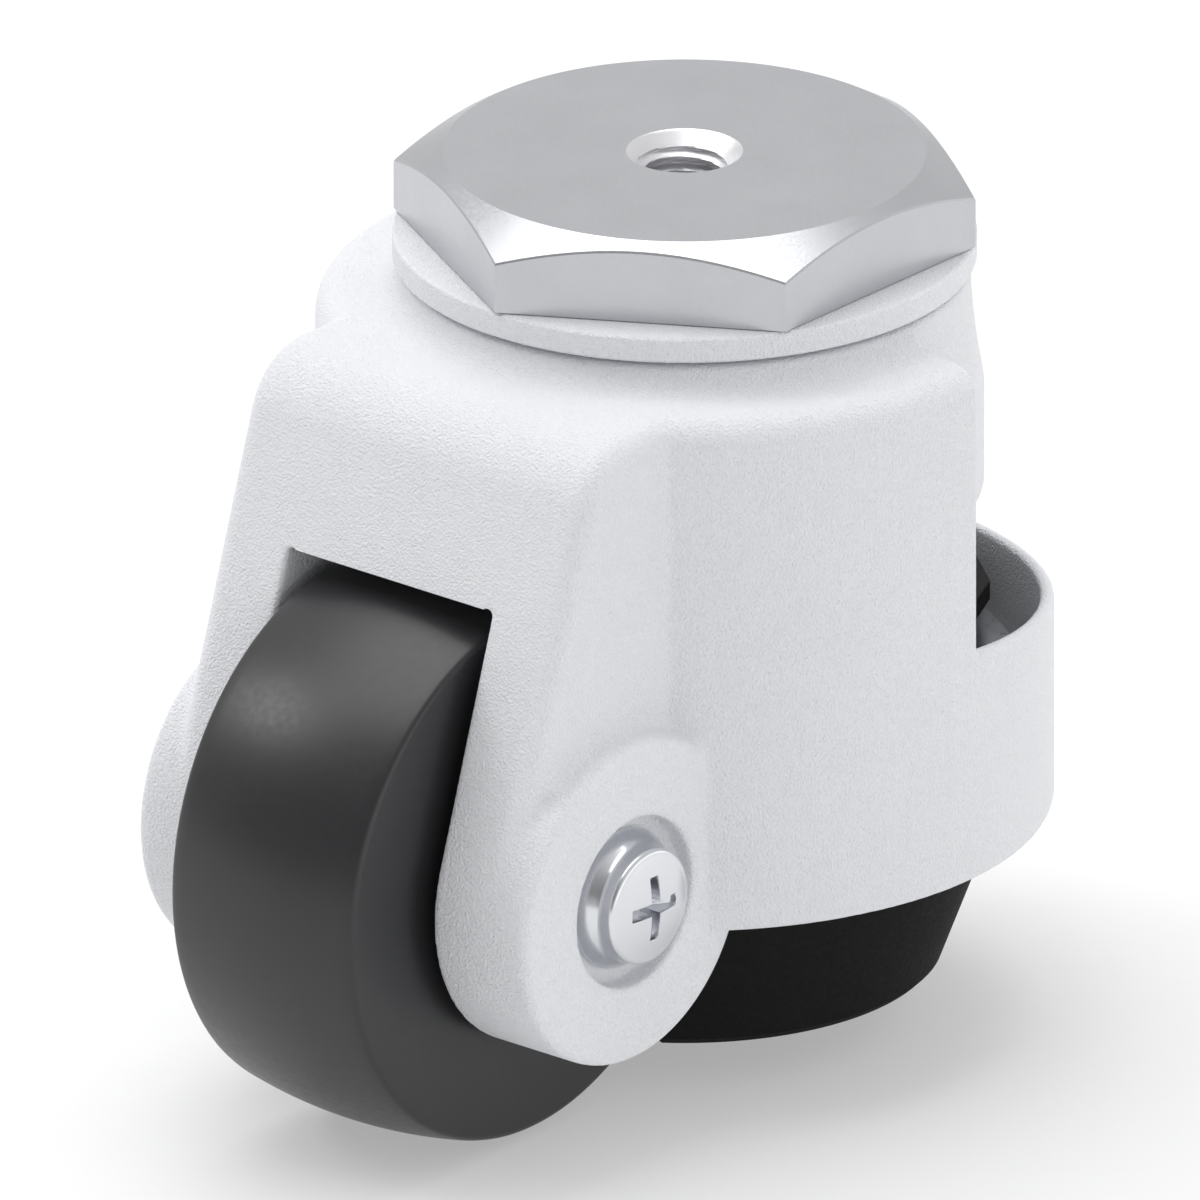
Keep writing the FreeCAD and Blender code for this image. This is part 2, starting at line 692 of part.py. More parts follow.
def make_spindle():
    """Threaded spindle with its head under the foot core and a groove for the stop ring."""
    spindle = turned_upright([
        (0, spindle_bottom_z), (spindle_head_radius, spindle_bottom_z),
        (spindle_head_radius, core_bottom_z), (spindle_radius, core_bottom_z),
        (spindle_radius, stop_bottom_z), (spindle_radius - stop_groove, stop_bottom_z),
        (spindle_radius - stop_groove, stop_top_z), (spindle_radius, stop_top_z),
        (spindle_radius - tip_length / 2, spindle_top_z), (0, spindle_top_z)], 0, adjuster_offset)
    return spindle


def make_stop_ring():
    """Ring that ends the foot's way down in the insert's counterbore."""
    return ring(stop_radius, spindle_radius - stop_groove, stop_bottom_z, stop_top_z,
                0, adjuster_offset)


def make_foot_pad():
    """Rubber foot: a cone that narrows downwards, notched for the castor wheel."""
    pad = turned_upright([
        (0, -foot_bottom), (foot_bottom_radius - foot_edge, -foot_bottom),
        (foot_bottom_radius, -foot_bottom + foot_edge), (foot_top_radius, -foot_top - foot_edge),
        (foot_top_radius - foot_edge, -foot_top), (0, -foot_top)])
    pad = pad.cut(wheel_gap(0, -foot_bottom))
    seat = upright(core_radius, core_bottom_z, -foot_top + past)
    pad = pad.cut(seat.cut(wheel_gap(core_margin, core_bottom_z)))
    pad = pad.cut(upright(spindle_head_radius, spindle_bottom_z, -foot_top, 0, adjuster_offset))
    for x, y in guide_places:
        pad = pad.cut(upright(guide_radius + guide_play, -foot_bottom + guide_floor, -foot_top, x, y))
    return one_solid(pad)


def main():
    """Make every piece and write each one to its own file."""
    spacer = make_spacer()
    bush = make_bush()
    screw = make_axle_screw()
    pieces = {
        "hex_fitting": make_hex_fitting(),
        "cover_disc": make_cover_disc(),
        "swivel_flange": make_swivel_flange(),
        "dust_seal": make_dust_seal(),
        "upper_balls": make_ball_row(upper_ball_z, 0.0),
        "bearing_cap": make_bearing_cap(),
        "lower_balls": make_ball_row(lower_ball_z, 0.5),
        "lower_race": make_lower_race(),
        "housing": make_housing(),
        "axle_sleeve": make_axle_sleeve(),
        "axle_screw_right": screw,
        "axle_screw_left": mirrored(screw),
        "spacer_right": spacer,
        "spacer_left": mirrored(spacer),
        "castor_wheel": make_wheel(),
        "wheel_bush_right": bush,
        "wheel_bush_left": mirrored(bush),
        "thrust_washer": make_thrust_washer(),
        "bearing_plate": make_bearing_plate(),
        "plate_screws": make_plate_screws(),
        "guide_pins": make_guide_pins(),
        "adjusting_wheel": make_adjusting_wheel(),
        "threaded_insert": make_insert(),
        "foot_pad": make_foot_pad(),
        "foot_core": make_foot_core(),
        "spindle": make_spindle(),
        "stop_ring": make_stop_ring(),
    }
    os.makedirs("parts", exist_ok=True)
    for name, shape in pieces.items():
        shape.exportStep(f"parts/{name}.step")
        print(name, len(shape.Solids), round(shape.Volume, 1), shape.isValid())


main()
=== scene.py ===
# %% [markdown]
# # A levelling castor for a machine foot
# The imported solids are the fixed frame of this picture: they already have the right size and
# place. This notebook dresses them. It gives every piece a finish with real-scale grain, and it
# makes anew the few pieces whose look lives in fine shape: the soft-edged casting, the threaded
# hexagon, the moulded wheel, the axle screws and the threaded spindle.

# %% Load the frame
import json
import math

import bmesh
import bpy
import numpy as np
from mathutils import Matrix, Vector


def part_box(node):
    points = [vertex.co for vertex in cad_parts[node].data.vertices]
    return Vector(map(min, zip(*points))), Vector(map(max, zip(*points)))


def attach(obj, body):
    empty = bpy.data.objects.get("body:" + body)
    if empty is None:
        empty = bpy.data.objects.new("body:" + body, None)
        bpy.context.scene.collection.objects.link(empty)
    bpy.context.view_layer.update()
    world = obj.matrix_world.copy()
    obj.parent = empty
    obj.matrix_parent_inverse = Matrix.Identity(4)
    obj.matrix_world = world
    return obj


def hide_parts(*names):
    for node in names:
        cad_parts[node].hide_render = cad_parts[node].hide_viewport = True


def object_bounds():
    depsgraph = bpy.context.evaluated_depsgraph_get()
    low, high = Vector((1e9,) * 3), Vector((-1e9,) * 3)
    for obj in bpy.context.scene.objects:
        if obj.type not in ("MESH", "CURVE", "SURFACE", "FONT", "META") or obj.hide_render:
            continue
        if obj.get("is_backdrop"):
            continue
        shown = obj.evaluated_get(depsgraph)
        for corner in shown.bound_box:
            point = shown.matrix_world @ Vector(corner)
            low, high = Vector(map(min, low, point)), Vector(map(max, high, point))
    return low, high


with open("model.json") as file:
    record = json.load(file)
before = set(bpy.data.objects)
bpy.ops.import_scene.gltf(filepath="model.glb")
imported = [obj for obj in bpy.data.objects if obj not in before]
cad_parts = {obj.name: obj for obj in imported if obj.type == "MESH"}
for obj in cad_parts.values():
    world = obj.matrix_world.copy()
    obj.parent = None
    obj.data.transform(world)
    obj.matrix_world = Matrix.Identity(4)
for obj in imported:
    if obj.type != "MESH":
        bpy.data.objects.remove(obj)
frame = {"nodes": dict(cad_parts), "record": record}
nodes = frame["nodes"]
cad_low, cad_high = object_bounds()
MM = 0.001
print("CAD box, mm:", [round((high - low) / MM, 1) for low, high in zip(cad_low, cad_high)])

# %% [markdown]
# ## Finishes
# A real surface is never one flat colour. Each finish here is made the same way: a broad noise
# lets the colour wander a little, and a fine noise, as small as the real grain, is raised as bump
# and lets the gloss wander. Scales are in repeats per metre, because the objects are in metres,
# so a grain of 0.3 mm needs a noise of about 3000.

# %% Finish helpers
NOISE_LOW, NOISE_HIGH = 0.3, 0.7


def link(tree, start, socket, end, name):
    """Joins one node's output to another node's input."""
    tree.links.new(start.outputs[socket], end.inputs[name])


def object_coordinates(tree, stretch):
    """Object coordinates, stretched along the three axes where a grain runs one way."""
    place = tree.nodes.new("ShaderNodeTexCoord")
    mapping = tree.nodes.new("ShaderNodeMapping")
    mapping.inputs["Scale"].default_value = stretch
    link(tree, place, "Object", mapping, "Vector")
    return mapping


def noise(tree, mapping, scale, detail):
    """A noise of a number of repeats per metre."""
    node = tree.nodes.new("ShaderNodeTexNoise")
    node.inputs["Scale"].default_value = scale
    node.inputs["Detail"].default_value = detail
    node.inputs["Roughness"].default_value = 0.5
    link(tree, mapping, "Vector", node, "Vector")
    return node


def ranged(tree, source, socket, low, high):
    """Spreads a noise, which stays near a half, between two values."""
    node = tree.nodes.new("ShaderNodeMapRange")
    node.inputs["From Min"].default_value = NOISE_LOW
    node.inputs["From Max"].default_value = NOISE_HIGH
    node.inputs["To Min"].default_value = low
    node.inputs["To Max"].default_value = high
    link(tree, source, socket, node, "Value")
    return node


def blend_colours(tree, factor, dark, light):
    """Two colours mixed by a factor."""
    node = tree.nodes.new("ShaderNodeMix")
    node.data_type = "RGBA"
    node.inputs["A"].default_value = (*dark, 1)
    node.inputs["B"].default_value = (*light, 1)
    link(tree, factor, 0, node, "Factor")
    return node


def make_finish(name, colour, rough, metal=0.0, wander=0.04, patch=120.0, grain=2500.0,
                depth=0.01, stretch=(1, 1, 1), spread=0.06, detail=2.0, specular=0.5, painted_grain_shading=0.0):
    """A finish from a colour, a roughness, and the scale and depth in millimetres of its grain.
    The colour wanders by a share in patches, the roughness by its spread, and the painted grain
    shading is the share by which the grain's low places are painted darker, as painted shade, and
    its high places lighter, as painted light."""
    material = bpy.data.materials.new(name)
    material.use_nodes = True
    tree = material.node_tree
    shader = tree.nodes["Principled BSDF"]
    shader.inputs["Metallic"].default_value = metal
    shader.inputs["Specular IOR Level"].default_value = specular
    mapping = object_coordinates(tree, stretch)
    broad = noise(tree, mapping, patch, 3.0)
    share = ranged(tree, broad, "Fac", 0.0, 1.0)
    dark = [value * (1 - wander) for value in colour]
    light = [min(value * (1 + wander), 1.0) for value in colour]
    mix = blend_colours(tree, share, dark, light)
    fine = noise(tree, mapping, grain, detail)
    # Painted shade and light: the grain's low places are painted darker and its high places
    # lighter.
    shade = ranged(tree, fine, "Fac", 1 - painted_grain_shading, 1 + painted_grain_shading)
    tint = tree.nodes.new("ShaderNodeVectorMath")
    tint.operation = "SCALE"
    link(tree, mix, "Result", tint, 0)
    link(tree, shade, "Result", tint, "Scale")
    link(tree, tint, "Vector", shader, "Base Color")
    gloss = ranged(tree, fine, "Fac", rough - spread, rough + spread)
    link(tree, gloss, "Result", shader, "Roughness")
    bump = tree.nodes.new("ShaderNodeBump")
    bump.inputs["Strength"].default_value = 1.0
    bump.inputs["Distance"].default_value = depth * MM
    link(tree, fine, "Fac", bump, "Height")
    link(tree, bump, "Normal", shader, "Normal")
    return material


# %% Finishes of the castor
# The paint's grain has painted shade in its low places and painted light on its high ones.
paint = make_finish("light_grey_paint", (0.84, 0.85, 0.88), 0.50, grain=4600, depth=0.25,
                    patch=90, wander=0.010, painted_grain_shading=0.022)
milled = make_finish("milled_steel", (0.55, 0.56, 0.58), 0.36, metal=1.0, grain=4000,
                     depth=0.002, wander=0.03)
# A lighter copy of the milled steel for the threaded hole in the hexagon: painted light in the
# hole.
hole_steel_painted_light = make_finish("painted_light_hole_steel", (0.80, 0.80, 0.82), 0.42, metal=1.0, grain=4000,
                        depth=0.001, wander=0.02)
bearing = make_finish("ground_steel", (0.45, 0.45, 0.46), 0.28, metal=1.0, grain=6000,
                      depth=0.002)
felt = make_finish("pressed_felt", (0.16, 0.16, 0.16), 0.95, grain=5000, depth=0.12, detail=6.0)
zinc = make_finish("bright_zinc", (0.71, 0.72, 0.75), 0.18, metal=1.0, grain=5000, depth=0.001,
                   wander=0.02, spread=0.03)
wheel_skin = make_finish("wheel_plastic", (0.018, 0.018, 0.020), 0.36, grain=1500, depth=0.003,
                         wander=0.06, spread=0.03, specular=0.55)
bush_skin = make_finish("bush_plastic", (0.62, 0.59, 0.50), 0.40, grain=3000, depth=0.004)
plated = make_finish("plated_steel", (0.52, 0.53, 0.56), 0.32, metal=1.0, grain=1500,
                     depth=0.004, wander=0.08)
adjuster_skin = make_finish("adjuster_plastic", (0.010, 0.010, 0.011), 0.60, grain=3000,
                            depth=0.008, specular=0.15)
brass = make_finish("turned_insert", (0.60, 0.46, 0.22), 0.30, metal=1.0, grain=3000,
                    depth=0.003, stretch=(1, 1, 6))
rubber = make_finish("foot_rubber", (0.006, 0.006, 0.0065), 0.80, grain=2200, depth=0.02,
                     wander=0.10, specular=0.15)
threaded = make_finish("rolled_steel", (0.42, 0.42, 0.44), 0.30, metal=1.0, grain=3500,
                       depth=0.003)

finish_of = {
    "machined_steel": milled, "housing_paint": paint, "bearing_steel": bearing, "felt": felt,
    "screw_zinc": zinc, "wheel_plastic": wheel_skin, "bush_plastic": bush_skin,
    "plate_steel": plated, "adjuster_plastic": adjuster_skin, "insert_brass": brass,
    "foot_rubber": rubber, "spindle_steel": threaded}
for entry in frame["record"]["subparts"]:
    node = nodes[entry["node"]]
    node.data.materials.clear()
    node.data.materials.append(finish_of[entry["material_slot"]])
print("finishes:", sorted(finish_of))

# %% [markdown]
# ## From arrays to a piece
# Every new surface below is a grid: rows of points, each row the same number of points long. Two
# neighbours in a row and the two above them make one quad, so the faces follow from the counts
# alone. A helper turns such arrays into a mesh, joins the points that coincide at poles and turns
# the faces outwards. Another makes a piece of it, with edges sharper than a set angle kept crisp.

# %% Mesh helpers
JOIN, TINY = 1e-6, 1e-7  # metres: points closer than the first are one, edges under the second go


def grid_quads(rows, columns):
    """Quads of a grid that closes round: corner (i, j) meets (i, j+1), (i+1, j+1), (i+1, j)."""
    i, j = np.meshgrid(np.arange(rows - 1), np.arange(columns), indexing="ij")
    k = (j + 1) % columns
    corners = [i * columns + j, i * columns + k, (i + 1) * columns + k, (i + 1) * columns + j]
    return np.stack(corners, -1).reshape(-1, 4)


def make_mesh(name, points, quads):
    """A closed mesh from corners in millimetres and quads, with doubles joined."""
    mesh = bpy.data.meshes.new(name)
    mesh.from_pydata((points * MM).tolist(), [], quads.tolist())
    shape = bmesh.new()
    shape.from_mesh(mesh)
    bmesh.ops.remove_doubles(shape, verts=shape.verts, dist=JOIN)
    bmesh.ops.dissolve_degenerate(shape, dist=TINY, edges=shape.edges)
    bmesh.ops.recalc_face_normals(shape, faces=shape.faces)
    shape.to_mesh(mesh)
    shape.free()
    return mesh


def upright(name, rings, angle, centre_y=0.0):
    """A surface round an upright axis. Each ring holds its radius and its height, and either may
    be an array with one value for each angle."""
    one = np.ones(len(angle))
    radius = np.array([one * ring[0] for ring in rings])
    height = np.array([one * ring[1] for ring in rings])
    points = [radius * np.cos(angle), radius * np.sin(angle) + centre_y, height]
    points = np.stack(points, -1).reshape(-1, 3)
    return make_mesh(name, points, grid_quads(len(rings), len(angle)))


def joined_copy(node):
    """A copy of a CAD node's mesh with its loose triangles joined."""
    mesh = nodes[node].data.copy()
    shape = bmesh.new()
    shape.from_mesh(mesh)
    bmesh.ops.remove_doubles(shape, verts=shape.verts, dist=JOIN)
    shape.to_mesh(mesh)
    shape.free()
    return mesh


def place_piece(name, mesh, finish, body, stands_for, sharp_angle):
    """An object for a mesh, riding on a body and standing for the CAD node named."""
    mesh.materials.clear()
    mesh.materials.append(finish)
    mesh.shade_smooth()
    mesh.set_sharp_from_angle(angle=math.radians(sharp_angle))
    piece = bpy.data.objects.new(name, mesh)
    bpy.context.scene.collection.objects.link(piece)
    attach(piece, body)
    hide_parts(stands_for)
    print(name, "has", len(mesh.polygons), "faces")


# %% [markdown]
# ## The casting
# The housing is a die casting, so none of its inner corners is sharp: the metal flows round them.
# Filleting each one by hand would take long. A quicker way is the one a sculptor uses: rebuild
# the skin from small cubes, then let its points drift. The sizes below are those of the packed
# solid, in millimetres, and serve to find places on that skin.

# %% Sizes of the housing
axle_y, axle_z, pocket_radius, pocket_half = -32.0, -52.9, 26.7, 10.85
adjuster_y, room_radius = 11.0, 19.3
lip_y, lip_z, arm_slope = -38.76, -27.07, 0.327
arm_half, cheek_end, body_radius, neck_radius = 18.9, 1.4, 31.2, 25.0
rim_height, rim_slope, rim_middle, rim_half = -38.0, 0.1174, 30.6, 0.6
voxel, skin_triangles = 0.26, 190000


# %% Skin helpers
def with_modifier(mesh, kind, **settings):
    """A new mesh: the given one after one modifier."""
    helper = bpy.data.objects.new("helper", mesh)
    bpy.context.scene.collection.objects.link(helper)
    modifier = helper.modifiers.new(kind, kind)
    for name, value in settings.items():
        setattr(modifier, name, value)
    depsgraph = bpy.context.evaluated_depsgraph_get()
    result = bpy.data.meshes.new_from_object(helper.evaluated_get(depsgraph))
    bpy.data.objects.remove(helper)
    return result


def drift(points, edges, weight, steps):
    """Each point p moves to p + w (m - p), m the mean of its neighbours, a number of times."""
    count = len(points)
    start, end = np.concatenate([edges, edges[:, ::-1]]).T
    degree = np.maximum(np.bincount(start, minlength=count), 1)
    for _ in range(steps):
        sums = [np.bincount(start, points[end, axis], count) for axis in range(3)]
        mean = np.stack(sums, 1) / degree[:, None]
        points = points + weight[:, None] * (mean - points)
    return points


def smooth_step(value, inner, outer):
    """1 below the inner value, 0 above the outer, and a soft s-curve between."""
    t = np.clip((outer - value) / (outer - inner), 0, 1)
    return t * t * (3 - 2 * t)


# %% [markdown]
# ### The wall between two rooms
# Inside, the wheel's pocket and the adjusting wheel's room cross, and the wall between them runs
# out in a knife edge, which a casting can't have. It is cut back to where it is t = 0.7 mm thick.
# At a place x across, the room's wall stands at y(x) = adjuster_y - sqrt(room_radius^2 - x^2).
# The pocket comes within t of it up to
# z(x) = axle_z + sqrt(pocket_radius^2 - (y(x) - t - axle_y)^2).

# %% Clear the thin wall
thin_wall, past = 0.7, 0.1
cut_half, cut_front, cut_low, cut_rows = 10.3, -12.0, -50.0, 41
across = np.linspace(-cut_half, cut_half, cut_rows)
wall_y = adjuster_y - np.sqrt(room_radius ** 2 - across ** 2)
cut_top = axle_z + np.sqrt(pocket_radius ** 2 - (wall_y - thin_wall - axle_y) ** 2)
cut_back = wall_y + past
section = [(cut_front, cut_low), (cut_back, cut_low), (cut_back, cut_top), (cut_front, cut_top)]
rows = np.stack([np.stack([across, across * 0 + y, across * 0 + z], -1) for y, z in section], 1)
first, last = [np.repeat(rows[end].mean(0)[None, None], 4, 1) for end in (0, -1)]
block = np.concatenate([first, rows, last])
cutter_mesh = make_mesh("cutter", block.reshape(-1, 3), grid_quads(len(block), 4))
cutter = bpy.data.objects.new("cutter", cutter_mesh)
bpy.context.scene.collection.objects.link(cutter)
opened = with_modifier(joined_copy("housing"), "BOOLEAN", object=cutter,
                       operation="DIFFERENCE", solver="EXACT")
bpy.data.objects.remove(cutter)
print("wall cut up to z, mm:", round(float(cut_top.max()), 1))

# %% [markdown]
# ### The skin
# One step towards the mean of the neighbours and one a little longer step back takes the stairs
# of the small cubes off every face and keeps thin walls as thick as they were.

# %% Rebuild the skin
forward, backward, rounds = 0.5, -0.52, 5
cast = with_modifier(opened, "REMESH", mode="VOXEL", voxel_size=voxel * MM,
                     adaptivity=0.0, use_smooth_shade=True)
flat = np.empty(len(cast.vertices) * 3)
cast.vertices.foreach_get("co", flat)
points = flat.reshape(-1, 3) / MM
edges = np.empty(len(cast.edges) * 2, int)
cast.edges.foreach_get("vertices", edges)
edges = edges.reshape(-1, 2)
everywhere = np.ones(len(points))
points = drift(points, edges, everywhere * forward, 3)
for _ in range(rounds):
    points = drift(points, edges, everywhere * forward, 1)
    points = drift(points, edges, everywhere * backward, 1)
print("points of the skin:", len(points))

# %% [markdown]
# ### Soft creases
# Points near the two upright creases of the casting, where the fork's arms and the neck meet the
# round body, drift forward only, which fills a soft round. A crease is a line, so the weight is a
# soft step of the distance from it, seen from above, times a soft step of the height.

# %% Fill the creases
crease_inner, crease_outer, crease_steps = 0.8, 1.8, 18
arm_middle, neck_middle = -30.0, -20.5
x, y, z = np.abs(points[:, 0]), points[:, 1], points[:, 2]
arm_foot = np.hypot(x - arm_half, y + math.sqrt(body_radius ** 2 - arm_half ** 2))
neck_foot = np.hypot(np.hypot(x, y) - neck_radius, y - cheek_end)
arm_crease = smooth_step(arm_foot, crease_inner, crease_outer)
arm_crease *= smooth_step(np.abs(z - arm_middle), 17, 21)
neck_crease = smooth_step(neck_foot, crease_inner, crease_outer)
neck_crease *= smooth_step(np.abs(z - neck_middle), 8.0, 9.0)
crease = np.maximum(arm_crease, neck_crease)
near = crease > 0.01
kept = edges[near[edges].any(1)]
points = drift(points, kept, np.where(near, crease, 0) * forward, crease_steps)
print("points near creases:", int(near.sum()), "of", len(points))

# %% [markdown]
# ### The crest of the low wall
# The crest of the thin rear wall is too fine for drifting, so its points are set on a half round
# by formula. With a the distance outside the wall's middle and b the height above the half
# round's centre, a point moves to the same direction (a, b) at a length of half the wall. The
# crest dips towards the back in a straight slope.

# %% Round the crest
x, y, z = points.T
radius = np.hypot(x, y)
rim_top = rim_height - rim_slope * (y - cheek_end)
aside, above = radius - rim_middle, z - (rim_top - rim_half)
length = np.maximum(np.hypot(aside, np.maximum(above, 0)), 1e-6)
pull = smooth_step(np.abs(z - rim_top), 1.5, 2.5) * smooth_step(np.abs(aside), 1.0, 1.3)
pull *= smooth_step(-y, -cheek_end - 1.0, -cheek_end - 0.2)
crest_radius = rim_middle + rim_half * aside / length
crest_z = np.minimum(above, 0) + rim_half * np.maximum(above, 0) / length + rim_top - rim_half
shrink = 1 + pull * (crest_radius / radius - 1)
points = np.stack([x * shrink, y * shrink, z + pull * (crest_z - z)], 1)
print("points of the rim's crest:", int((pull > 0).sum()))

# %% [markdown]
# ### The lip over the wheel
# The lip ends in a sharp line where the wheel's pocket meets the arm's sloping front. Points that
# strayed into the pocket are set back on its cylinder, and at the two corners of the slot points
# that sank behind the front are set back on its plane.

# %% Set points back on the pocket and the front
corner_x, corner_wide, corner_rise, corner_tall = 10.7, 0.45, 0.5, 0.55
sunk_reach, pocket_gap = 0.45, 0.06
x, y, z = points.T
from_axle = np.hypot(y - axle_y, z - axle_z)
strayed = (np.abs(x) < pocket_half) & (from_axle < pocket_radius)
grow = np.where(strayed, pocket_radius / from_axle, 1)
points = np.stack([x, axle_y + (y - axle_y) * grow, axle_z + (z - axle_z) * grow], 1)
print("points set back on the wheel's pocket:", int(strayed.sum()), "by at most",
      round(float(((grow - 1) * from_axle).max()), 3), "mm")
x, y, z = points.T
arm_front = lip_y + arm_slope * (z - lip_z)
at_corner = np.abs(np.abs(x) - corner_x) < corner_wide
at_corner &= np.abs(z - lip_z - corner_rise) < corner_tall
sunk = at_corner & (y > arm_front) & (y < arm_front + sunk_reach)
sunk &= np.hypot(y - axle_y, z - axle_z) > pocket_radius + pocket_gap
points[:, 1] = np.where(sunk, arm_front, y)
print("points of the lip's corners set on the front:", int(sunk.sum()))

# %% Thin the skin and place it
cast.vertices.foreach_set("co", (points * MM).ravel())
triangles = sum(len(face.vertices) - 2 for face in cast.polygons)
print("cast skin before thinning:", triangles, "triangles")
cast = with_modifier(cast, "DECIMATE", ratio=min(1.0, skin_triangles / triangles))
place_piece("housing_casting", cast, paint, "housing", "housing", 60)

# %% [markdown]
# ## The balls
# The balls of both bearings are the CAD's own, with the doubled points at their poles joined.

# %% Balls
for row, body in (("upper_balls", "head"), ("lower_balls", "housing")):
    place_piece(row + "_joined", joined_copy(row), bearing, body, row, 60)

# %% [markdown]
# ## The threaded hexagon
# The head is milled from hexagon bar. Seen from above, its radius is a function of the angle: the
# half width across flats divided by the cosine of the angle from the nearest flat. So the whole
# head is one grid of rings. In the hole, each ring's radius also depends on how far the helix of
# the thread has turned there, which gives real M8 turns. The hole's faces get a lighter copy of
# the same steel, painted light that stands in for the light reaching into the hole.

# %% Hexagon
def thread_radius(angle, height, pitch, inner, outer):
    """Radius of a right-handed thread: the phase is height over pitch less angle over a turn; the
    flank runs straight from the flat at the outer radius to the flat at the inner one."""
    phase = (height / pitch - angle / (2 * np.pi)) % 1.0
    distance = np.abs(2 * phase - 1)
    flank = np.clip((distance - 0.125) / 0.625, 0, 1)
    return outer + (inner - outer) * flank


columns = 360
angle = np.linspace(0, 2 * np.pi, columns, endpoint=False)
flats, head_height, chamfer_start, edge = 43.2, 7.1, 20.4, 0.12
core, thread_outer, mouth, hole_depth, pitch, run_out = 3.32, 4.0, 4.9, 14.0, 1.25, 1.5
spigot, spigot_end = 8.0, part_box("hex_fitting")[0].z / MM
slope = math.tan(math.radians(30))
from_flat = (angle + np.pi / 2) % (np.pi / 3) - np.pi / 6
hexagon = flats / 2 / np.cos(from_flat)
rings = [(0.0, -hole_depth - core / 2), (core, -hole_depth)]
for height in np.arange(-hole_depth + 0.1, 0, pitch / 14):
    turn = thread_radius(angle, height, pitch, core, thread_outer)
    fade = min((height + hole_depth) / run_out, 1.0)
    rings.append((np.maximum(core + (turn - core) * fade, mouth + height), height))
rings += [(radius, 0.0) for radius in (mouth + 0.05, mouth + 0.4, 10, 15, chamfer_start - 0.1)]
for share in (0.0, 0.3, 0.7, 1.0):
    reach = chamfer_start + share * (hexagon - edge - chamfer_start)
    rings.append((reach, -(reach - chamfer_start) * slope))
rings += [
    (hexagon, -(hexagon - chamfer_start) * slope - edge), (hexagon, -head_height + edge),
    (hexagon - edge, -head_height), (spigot, -head_height), (spigot, spigot_end),
    (0.0, spigot_end)]
head_mesh = upright("hexagon_threaded", rings, angle)
place_piece("hexagon_threaded", head_mesh, milled, "head", "hex_fitting", 20)
# The hole's faces take the lighter steel: painted light in the hole.
head_mesh.materials.append(hole_steel_painted_light)
for face in head_mesh.polygons:
    away, height = math.hypot(face.center.x, face.center.y), face.center.z
    face.material_index = int(away < mouth * MM and height > -hole_depth * MM)

# %% [markdown]
# ## The wheel and the axle screws
# Both are bodies of revolution about the axle. The wheel is moulded, with a crowned tread whose
# height falls off as on a circle of 48 mm, and a small round where tread and face meet: that
# round catches the light as a fine line. Its half profile runs from the hub out over the face and
# the round to the middle of the tread, and the other half is its mirror.

# %% Wheel
def turned(name, profile, columns):
    """A surface swept round the axle; each profile entry holds a place along X and a radius, and
    either may be an array with one value for each column."""
    angle = np.linspace(0, 2 * np.pi, columns, endpoint=False)
    rings = []
    for place, radius in profile:
        ring = [np.ones(columns) * place, axle_y + np.cos(angle) * radius,
                axle_z + np.sin(angle) * radius]
        rings.append(np.stack(ring, -1))
    return make_mesh(name, np.concatenate(rings), grid_quads(len(rings), columns))


def round_corner(place, radius, size, start, end):
    """Six points on an arc about a centre, between two angles in degrees off the axle."""
    sweep = np.radians(np.linspace(start, end, 6))
    return list(zip(place + size * np.cos(sweep), radius + size * np.sin(sweep)))


tread_radius, tread_half, crown_radius, edge_round, lift = 24.7, 10.0, 48.0, 0.6, 0.07
fall = crown_radius - math.sqrt(crown_radius ** 2 - tread_half ** 2)
hub = [(9.7, 6.5), (9.7, 8.0), (10.5, 8.0), (10.5, 8.7), (10.4, 8.9), (10.2, 9.0), (10.0, 9.15)]
face = [(10.0, 15.0), (10.0, 20.0)]
corner = round_corner(tread_half - edge_round, tread_radius - fall - edge_round + lift,
                      edge_round, 0, 80)
crown = [(place, tread_radius - crown_radius + math.sqrt(crown_radius ** 2 - place ** 2))
         for place in np.linspace(9.2, 0, 12)]
half = hub + face + corner + crown
profile = half + [(-place, radius) for place, radius in half[-2::-1]] + half[:1]
wheel_mesh = turned("wheel_moulded", profile, 256)
place_piece("wheel_moulded", wheel_mesh, wheel_skin, "wheel", "castor_wheel", 35)


# %% [markdown]
# The screw is cold headed: a conical skirt rises from the flange to the head, the face is a
# shallow dome, and the cross is pressed in. So the screw's face is a height field: from the
# dome's height the depth of the cross at that place is taken off.

# %% Axle screws
def cross_depth(across, along):
    """Depth of the cross: 0.5 mm at a wing's tip and 2.4 mm in the middle, with steep walls."""
    across, along = abs(across), abs(along)
    long, short = np.maximum(across, along), np.minimum(across, along)
    walls = smooth_step(short, 0.42, 0.56) * smooth_step(long, 2.72, 2.86)
    return (0.5 + 1.9 * np.clip(1 - long / 2.8, 0, 1)) * walls


seat, rim, dome_top, dome_edge, rim_round = 19.55, 23.15, 23.75, 4.6, 0.45
shank_end, shank = seat - 12, 3.0
sphere = (dome_edge ** 2 + (dome_top - rim) ** 2) / (2 * (dome_top - rim))
profile = [(shank_end, 0.0), (shank_end, 2.6), (seat - 11.6, shank), (seat, shank)]
flange_and_skirt = [(0.0, 6.0), (0.12, 6.13), (0.45, 6.15), (0.62, 6.08), (1.7, 5.42),
                    (1.95, 5.28), (2.2, 5.19), (2.5, 5.14)]
profile += [(seat + rise, radius) for rise, radius in flange_and_skirt]
profile.append((rim - 0.5, 5.08))
profile += round_corner(rim - rim_round, dome_edge + 0.03, rim_round, 88, 15)
for radius in np.concatenate([np.arange(dome_edge, 3.0, -0.2), np.arange(3.0, 0, -0.05), [0.0]]):
    dome = dome_top - sphere + math.sqrt(sphere ** 2 - radius ** 2)
    profile.append((dome - cross_depth(radius * np.cos(angle), radius * np.sin(angle)), radius))
